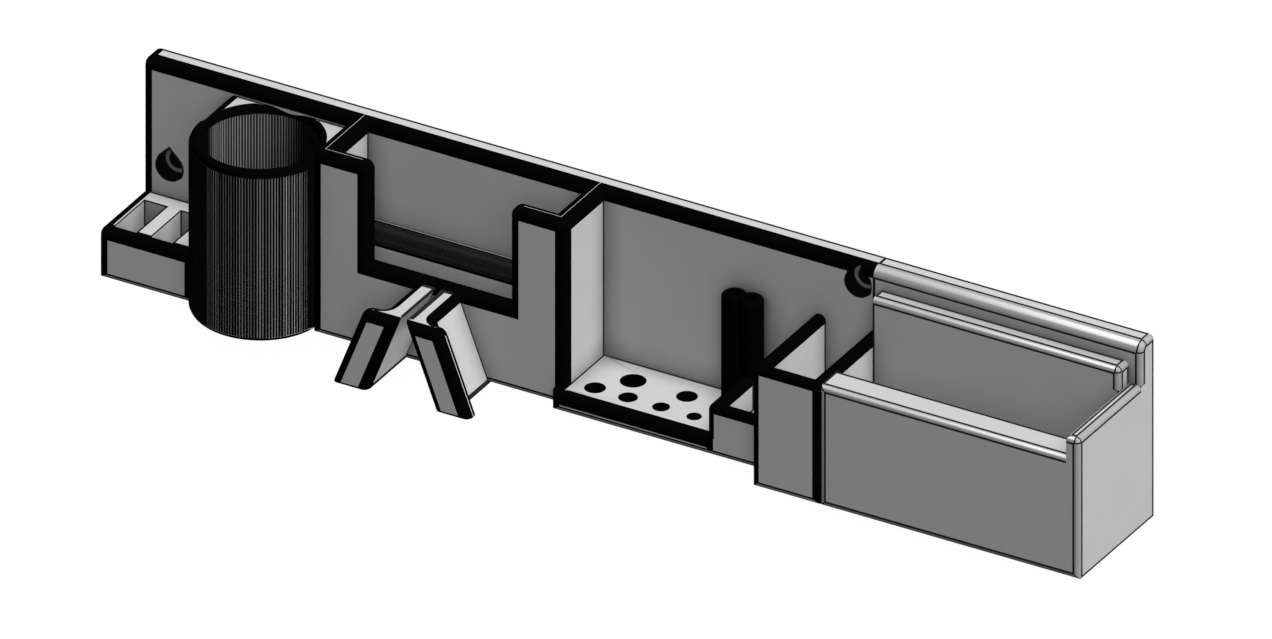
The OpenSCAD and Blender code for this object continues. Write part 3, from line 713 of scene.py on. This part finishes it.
# Flat faces shade flat, and rounds run into them without a break
def setShading(mesh, planes):
    count = len(mesh.polygons)
    normals = np.zeros(count * 3)
    mesh.polygons.foreach_get("normal", normals)
    normals = normals.reshape(-1, 3)
    areas = np.zeros(count)
    mesh.polygons.foreach_get("area", areas)
    around = {}
    for poly in mesh.polygons:
        for v in poly.vertices:
            around.setdefault(v, []).append(poly.index)
    flat = (np.abs(normals @ np.array(planes).T) > edges["flatLimit"]).any(axis=1)
    corner = []
    for poly in mesh.polygons:
        own = normals[poly.index]
        for v in poly.vertices:
            if flat[poly.index]:
                corner.append(tuple(own))
                continue
            near = [i for i in around[v] if normals[i] @ own > edges["rounded"]]
            level = [i for i in near if flat[i]]
            if level:
                total = normals[max(level, key=lambda i: normals[i] @ own)]
            else:
                total = sum(normals[i] * areas[i] for i in near)
            corner.append(tuple(total / max(np.linalg.norm(total), 1e-12)))
    mesh.normals_split_custom_set(corner)


# Thin dark ribbons where two rounds of the right print meet, kept inside the solids' box
def drawRibbons(bm, flatFaces):
    patch = bm.faces.layers.int.get("patch")
    lines = []
    for edge in bm.edges:
        near = list(edge.link_faces)
        if len(near) == 2 and not set(near) & flatFaces and near[0][patch] != near[1][patch]:
            for face in near:
                ends = [v.co.copy() for v in edge.verts]
                lines.append((*ends, face.normal.copy(), face.calc_center_median()))
    for start, end, normal, centre in lines:
        inward = normal.cross((end - start).normalized())
        if inward.dot(centre - start) < 0:
            inward = -inward
        lift = normal * edges["ribbonLift"]
        step = inward * edges["lineWidth"] + lift
        corners = []
        for place in (start + lift, end + lift, end + step, start + step):
            corners.append(bm.verts.new([min(max(v, low), high) for v, low, high in zip(place, *cadBox)]))
        face = bm.faces.new(corners)
        face.normal_update()
        if face.normal.dot(normal) < 0:
            face.normal_flip()
        face.material_index = linePaint


# Turns a mesh with the CAD node's shape into the piece that stands in for the node
def dress(name, bm, flatMaterial, roundMaterial, slants=(), reach=edges["blackReach"]):
    bm.normal_update()
    groups = [g for g in flatRegions(bm, name, list(slants)) if not isBoreFacet(name, g)]
    flatFaces = set().union(*groups)
    for face in bm.faces:
        face.material_index = flatPaint if face in flatFaces else roundPaint
    for group in groups:
        if widthOf(group) > edges["narrowest"]:
            drawRim(bm, name, group, flatFaces, roundMaterial is blackRound, reach)
        elif abs(next(iter(group)).normal.z) > edges["facing"]:
            for face in group:
                face.material_index = roundPaint
    if name in blackAbove:
        cutAlong(bm, (0, 0, blackAbove[name]), (0, 0, 1))
        for face in bm.faces:
            above = face.calc_center_median().z > blackAbove[name]
            if above and face.material_index == flatPaint and abs(face.normal.x) > edges["facing"]:
                face.material_index = roundPaint
    if roundMaterial is greyRound:
        drawRibbons(bm, flatFaces)
    if name not in specials:
        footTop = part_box(name)[0].z + edges["footRise"]
        for face in bm.faces:
            low = face.normal.z < -edges["downwards"] and face.calc_center_median().z < footTop
            if low and face.material_index == roundPaint:
                face.material_index = footPaint
    mesh = bpy.data.meshes.new(name + "_dressed")
    bm.to_mesh(mesh)
    bm.free()
    for material in (flatMaterial, roundMaterial, blackRound if flatMaterial is blackRound else thinLine, footRound):
        mesh.materials.append(material)
    mesh.shade_smooth()
    setShading(mesh, upright + list(slants))
    return addPiece(name + "_shell", mesh, name)


def addPiece(label, mesh, node=None):
    piece = bpy.data.objects.new(label, mesh)
    bpy.context.scene.collection.objects.link(piece)
    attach(piece, "root")
    if node:
        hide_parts(node)
    return piece


# Merges a mesh's doubles
def mended(bm):
    bmesh.ops.remove_doubles(bm, verts=bm.verts, dist=edges["weld"])
    bmesh.ops.dissolve_degenerate(bm, edges=bm.edges, dist=edges["shortest"])
    return bm


# A node's mesh in one piece, which remembers the CAD face that each of its faces came from
def copyOf(name):
    bm = bmesh.new()
    bm.from_mesh(frame["nodes"][name].data)
    patch = bm.faces.layers.int.new("patch")
    rest, count = set(bm.faces), 0
    while rest:
        queue = [rest.pop()]
        while queue:
            face = queue.pop()
            face[patch] = count
            found = {g for e in face.edges for g in e.link_faces if g in rest}
            rest -= found
            queue.extend(found)
        count += 1
    mended(bm)
    for place, facing in cuts.get(name, ()):
        cutAlong(bm, place, facing)
    return bm


specials = ("round_cup", "cup_floor", "needle_tubes", *peg["names"])
for name in sorted(frame["nodes"]):
    if name not in specials:
        dress(name, copyOf(name), greyFlat, blackRound if name in leftNodes else greyRound)
        print("dressed", name)

# Cup and its floor: grey walls that nearly vanish under their upright lines, and a black rim
shell = dress("round_cup", copyOf("round_cup"), greyFlat, blackRound)
shell.data.materials.append(cupWall)
shell.data.materials.append(cupBore)
for poly in shell.data.polygons:
    away = (Vector((poly.center.x, poly.center.y, 0)) - cup["middle"]).length
    onWall = abs(poly.normal.z) < cup["upright"] and poly.material_index == roundPaint
    if onWall and poly.center.z < cup["top"] - cup["rimBelow"]:
        if abs(away - cup["bore"]) < cup["boreNear"]:
            poly.material_index = borePaint
        elif abs(away - cup["outside"]) < cup["outsideNear"]:
            poly.material_index = wallPaint
dress("cup_floor", copyOf("cup_floor"), blackRound, blackRound)
dress("needle_tubes", copyOf("needle_tubes"), blackRound, blackRound)
print("cup and tubes dressed")


# Plan of a peg where its sides are drawn in by the given amounts: across it, and along its length
def pegPlan(drawnAcross, drawnAlong, footCut):
    r, seat, reach = peg["round"], peg["seatRound"], peg["reach"]
    arm = peg["armWidth"] * math.cos(peg["lean"])
    wide = (peg["armWidth"] + peg["lipOut"]) * math.cos(peg["lean"])
    back = peg["lipDepth"] - reach
    points = [(0, peg["root"]), (0, -peg["junction"])]
    for centre, radii, first in (
        ((r, r - reach), (r, r), 180),
        ((wide - r, r - reach), (r - drawnAcross, r - drawnAlong), 270),
        ((wide - r, back - r), (r - drawnAcross, r - drawnAlong), 0),
        ((arm + seat, back + seat), (seat + drawnAcross, seat + drawnAlong), 270),
    ):
        turn = -90 if centre[1] > back else 90
        for step in range(peg["arcSteps"] + 1):
            angle = math.radians(first + turn * step / peg["arcSteps"])
            points.append((centre[0] + radii[0] * math.cos(angle), centre[1] + radii[1] * math.sin(angle)))
    points.append((arm - drawnAcross, -peg["junction"]))
    points.append((arm - drawnAcross, peg["root"]))
    nearest = max(drawnAlong, footCut) - reach
    return [(across, max(along, nearest)) for across, along in points]


# Plans from the top down: through the top round, then through the foot round
def pegLevels(tall):
    r, lean, foot = peg["round"], peg["lean"], peg["footRound"]
    runOut = r / math.tan(math.pi / 4 + lean / 2)
    levels = []
    for step in range(peg["arcSteps"] + 1):
        angle = math.pi / 2 * step / peg["arcSteps"]
        drop = r * (1 - math.cos(angle))
        across = drop * math.tan(lean) + runOut - math.sqrt(r * r - (r - drop) ** 2)
        across = max(across, 0) if drop < r * (1 - math.sin(lean)) else 0
        levels.append((drop, pegPlan(across * math.cos(lean), r * (1 - math.sin(angle)), 0)))
    for step in range(peg["arcSteps"] + 1):
        angle = math.pi / 2 * step / peg["arcSteps"]
        levels.append((tall - foot + foot * math.sin(angle), pegPlan(0, 0, foot * (1 - math.cos(angle)))))
    return levels


def addPeg(name, side):
    low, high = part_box(name)
    lean = peg["lean"]
    inner = (low.x if side > 0 else high.x) - side * peg["inwards"]
    face = low.y + peg["reach"]
    bm = bmesh.new()
    rings = []
    for drop, plan in pegLevels(high.z - low.z):
        rings.append([
            bm.verts.new((
                inner + side * (across / math.cos(lean) + drop * math.tan(lean)), face + along, high.z - drop))
            for across, along in plan
        ])
    for upper, lower in zip(rings, rings[1:]):
        for i in range(len(upper)):
            j = (i + 1) % len(upper)
            bm.faces.new((upper[i], lower[i], lower[j], upper[j]))
    bm.faces.new(rings[0])
    bm.faces.new(rings[-1][::-1])
    mended(bm)
    bmesh.ops.recalc_face_normals(bm, faces=bm.faces)
    slants = [Vector((math.cos(lean), 0, side * math.sin(lean)))]
    dress(name, bm, greyFlat, blackRound, slants, peg["blackReach"])


for pegName, leanSide in peg["names"].items():
    addPeg(pegName, leanSide)
print("pegs lofted")


# Geometry Nodes tree: thin upright ribs set out along an arc, uneven in width
def ribTree():
    tree = bpy.data.node_groups.new("ribsOnArc", "GeometryNodeTree")
    for label, kind in (
        ("Count", "Int"), ("Radius", "Float"), ("Start", "Float"), ("Sweep", "Float"), ("Width", "Float"),
        ("Depth", "Float"), ("Foot", "Float"), ("Length", "Float"), ("Uneven", "Float"), ("Seed", "Int"),
        ("Material", "Material"),
    ):
        tree.interface.new_socket(label, in_out="INPUT", socket_type="NodeSocket" + kind)
    tree.interface.new_socket("Geometry", in_out="OUTPUT", socket_type="NodeSocketGeometry")
    nodes, links = tree.nodes, tree.links
    enter = nodes.new("NodeGroupInput").outputs
    leave = nodes.new("NodeGroupOutput").inputs

    def calc(operation, *values):
        return mathNode(tree, operation, *values)

    def joined(x, y, z):
        node = nodes.new("ShaderNodeCombineXYZ")
        for socket, value in zip(node.inputs, (x, y, z)):
            if value is not None:
                links.new(value, socket)
        return node.outputs[0]

    share = calc("DIVIDE", calc("ADD", nodes.new("GeometryNodeInputIndex").outputs[0], 0.5), enter["Count"])
    angle = calc("MULTIPLY_ADD", share, enter["Sweep"], enter["Start"])
    chance = nodes.new("FunctionNodeRandomValue")
    chance.data_type = "FLOAT"
    links.new(calc("SUBTRACT", 1, enter["Uneven"]), chance.inputs[2])
    chance.inputs[3].default_value = 1
    links.new(calc("ADD", enter["Seed"], 2), chance.inputs["Seed"])
    width = calc("MULTIPLY", enter["Width"], chance.outputs[1])
    place = joined(
        calc("MULTIPLY", calc("COSINE", angle), enter["Radius"]),
        calc("MULTIPLY", calc("SINE", angle), enter["Radius"]),
        calc("MULTIPLY_ADD", enter["Length"], 0.5, enter["Foot"]))

    points = nodes.new("GeometryNodePoints")
    links.new(enter["Count"], points.inputs["Count"])
    links.new(place, points.inputs["Position"])
    bar = nodes.new("GeometryNodeMeshCube")
    spread = nodes.new("GeometryNodeInstanceOnPoints")
    turn = nodes.new("FunctionNodeEulerToRotation")
    links.new(joined(None, None, angle), turn.inputs[0])
    links.new(points.outputs[0], spread.inputs["Points"])
    links.new(bar.outputs["Mesh"], spread.inputs["Instance"])
    links.new(turn.outputs[0], spread.inputs["Rotation"])
    links.new(joined(enter["Depth"], width, enter["Length"]), spread.inputs["Scale"])
    real = nodes.new("GeometryNodeRealizeInstances")
    paint = nodes.new("GeometryNodeSetMaterial")
    links.new(spread.outputs[0], real.inputs[0])
    links.new(real.outputs[0], paint.inputs["Geometry"])
    links.new(enter["Material"], paint.inputs["Material"])
    links.new(paint.outputs[0], leave[0])
    return tree


ribsOnArc = ribTree()


# Ribs about an upright line through a point, or about another line where a matrix turns them
def addRibs(label, values, where):
    base = bpy.data.meshes.new(label)
    maker = bpy.data.objects.new(label + "_maker", base)
    bpy.context.scene.collection.objects.link(maker)
    modifier = maker.modifiers.new("ribs", "NODES")
    modifier.node_group = ribsOnArc
    for item in ribsOnArc.interface.items_tree:
        if item.in_out == "INPUT":
            modifier[item.identifier] = values[item.name]
    shape = bpy.context.evaluated_depsgraph_get()
    shape.update()
    made = bpy.data.meshes.new_from_object(maker.evaluated_get(shape))
    maker.modifiers.remove(modifier)
    bpy.data.objects.remove(maker)
    made.transform(where)
    return addPiece(label, made)


outsideRibs = {
    "Count": 86, "Radius": cup["outside"], "Start": math.radians(-180), "Sweep": math.radians(206),
    "Width": 0.5 * mm, "Depth": 0.3 * mm, "Foot": cup["foot"] + 1.1 * mm,
    "Length": cup["top"] - cup["foot"] - 2.3 * mm, "Uneven": 0.4, "Seed": 7, "Material": cupRib,
}
addRibs("cup_outside_ribs", outsideRibs, Matrix.Translation(cup["middle"]))

boreRibs = {
    "Count": 124, "Radius": cup["bore"], "Start": 0.0, "Sweep": math.radians(360),
    "Width": 0.36 * mm, "Depth": 0.05 * mm, "Foot": cup["foot"] + 3.2 * mm,
    "Length": cup["top"] - cup["foot"] - 4.5 * mm, "Uneven": 0.3, "Seed": 3, "Material": cupRib,
}
addRibs("cup_bore_ribs", boreRibs, Matrix.Translation(cup["middle"]))

ledgeLow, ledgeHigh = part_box("pliers_ledge")
ledgeRound = 3.3 * mm
ledgeStreaks = {
    "Count": 15, "Radius": ledgeRound, "Start": math.radians(4), "Sweep": math.radians(82),
    "Width": 0.13 * mm, "Depth": 0.02 * mm, "Foot": 0.1 * mm,
    "Length": ledgeHigh.x - ledgeLow.x - 0.2 * mm, "Uneven": 0.5, "Seed": 11, "Material": paleRib,
}
ledgePlace = Matrix.Translation((ledgeHigh.x, ledgeLow.y + ledgeRound, ledgeHigh.z - ledgeRound))
ledgeTurn = Matrix(((0, 0, -1), (-1, 0, 0), (0, 1, 0))).to_4x4()
addRibs("ledge_streaks", ledgeStreaks, ledgePlace @ ledgeTurn)
print("ribs set out")

# Bits of the wall behind the holder, painted black as the shade seen through the two screw holes, and seen only
# through them
shadedWallPatch = {
    "holes": ("left_screw_hole", "right_screw_hole"),
    "radius": 2.4 * mm,
    "behind": 0.02 * mm,
    "sides": 32,
}
mounts = {m["name"]: m["pos_m"] for m in frame["record"]["mounts"]}
for hole in shadedWallPatch["holes"]:
    x, _, z = mounts[hole]
    rim = []
    for side in range(shadedWallPatch["sides"]):
        angle = 2 * math.pi * side / shadedWallPatch["sides"]
        across, up = shadedWallPatch["radius"] * math.cos(angle), shadedWallPatch["radius"] * math.sin(angle)
        rim.append((x + across, shadedWallPatch["behind"], z + up))
    disc = bpy.data.meshes.new("shaded_wall_behind_" + hole)
    disc.from_pydata(rim, [], [tuple(range(shadedWallPatch["sides"]))])
    disc.materials.append(blackRound)
    patch = bpy.data.objects.new("shaded_wall_behind_" + hole, disc)
    bpy.context.scene.collection.objects.link(patch)
print("wall placed behind the screw holes")

bpy.context.scene.view_settings.view_transform = "Standard"
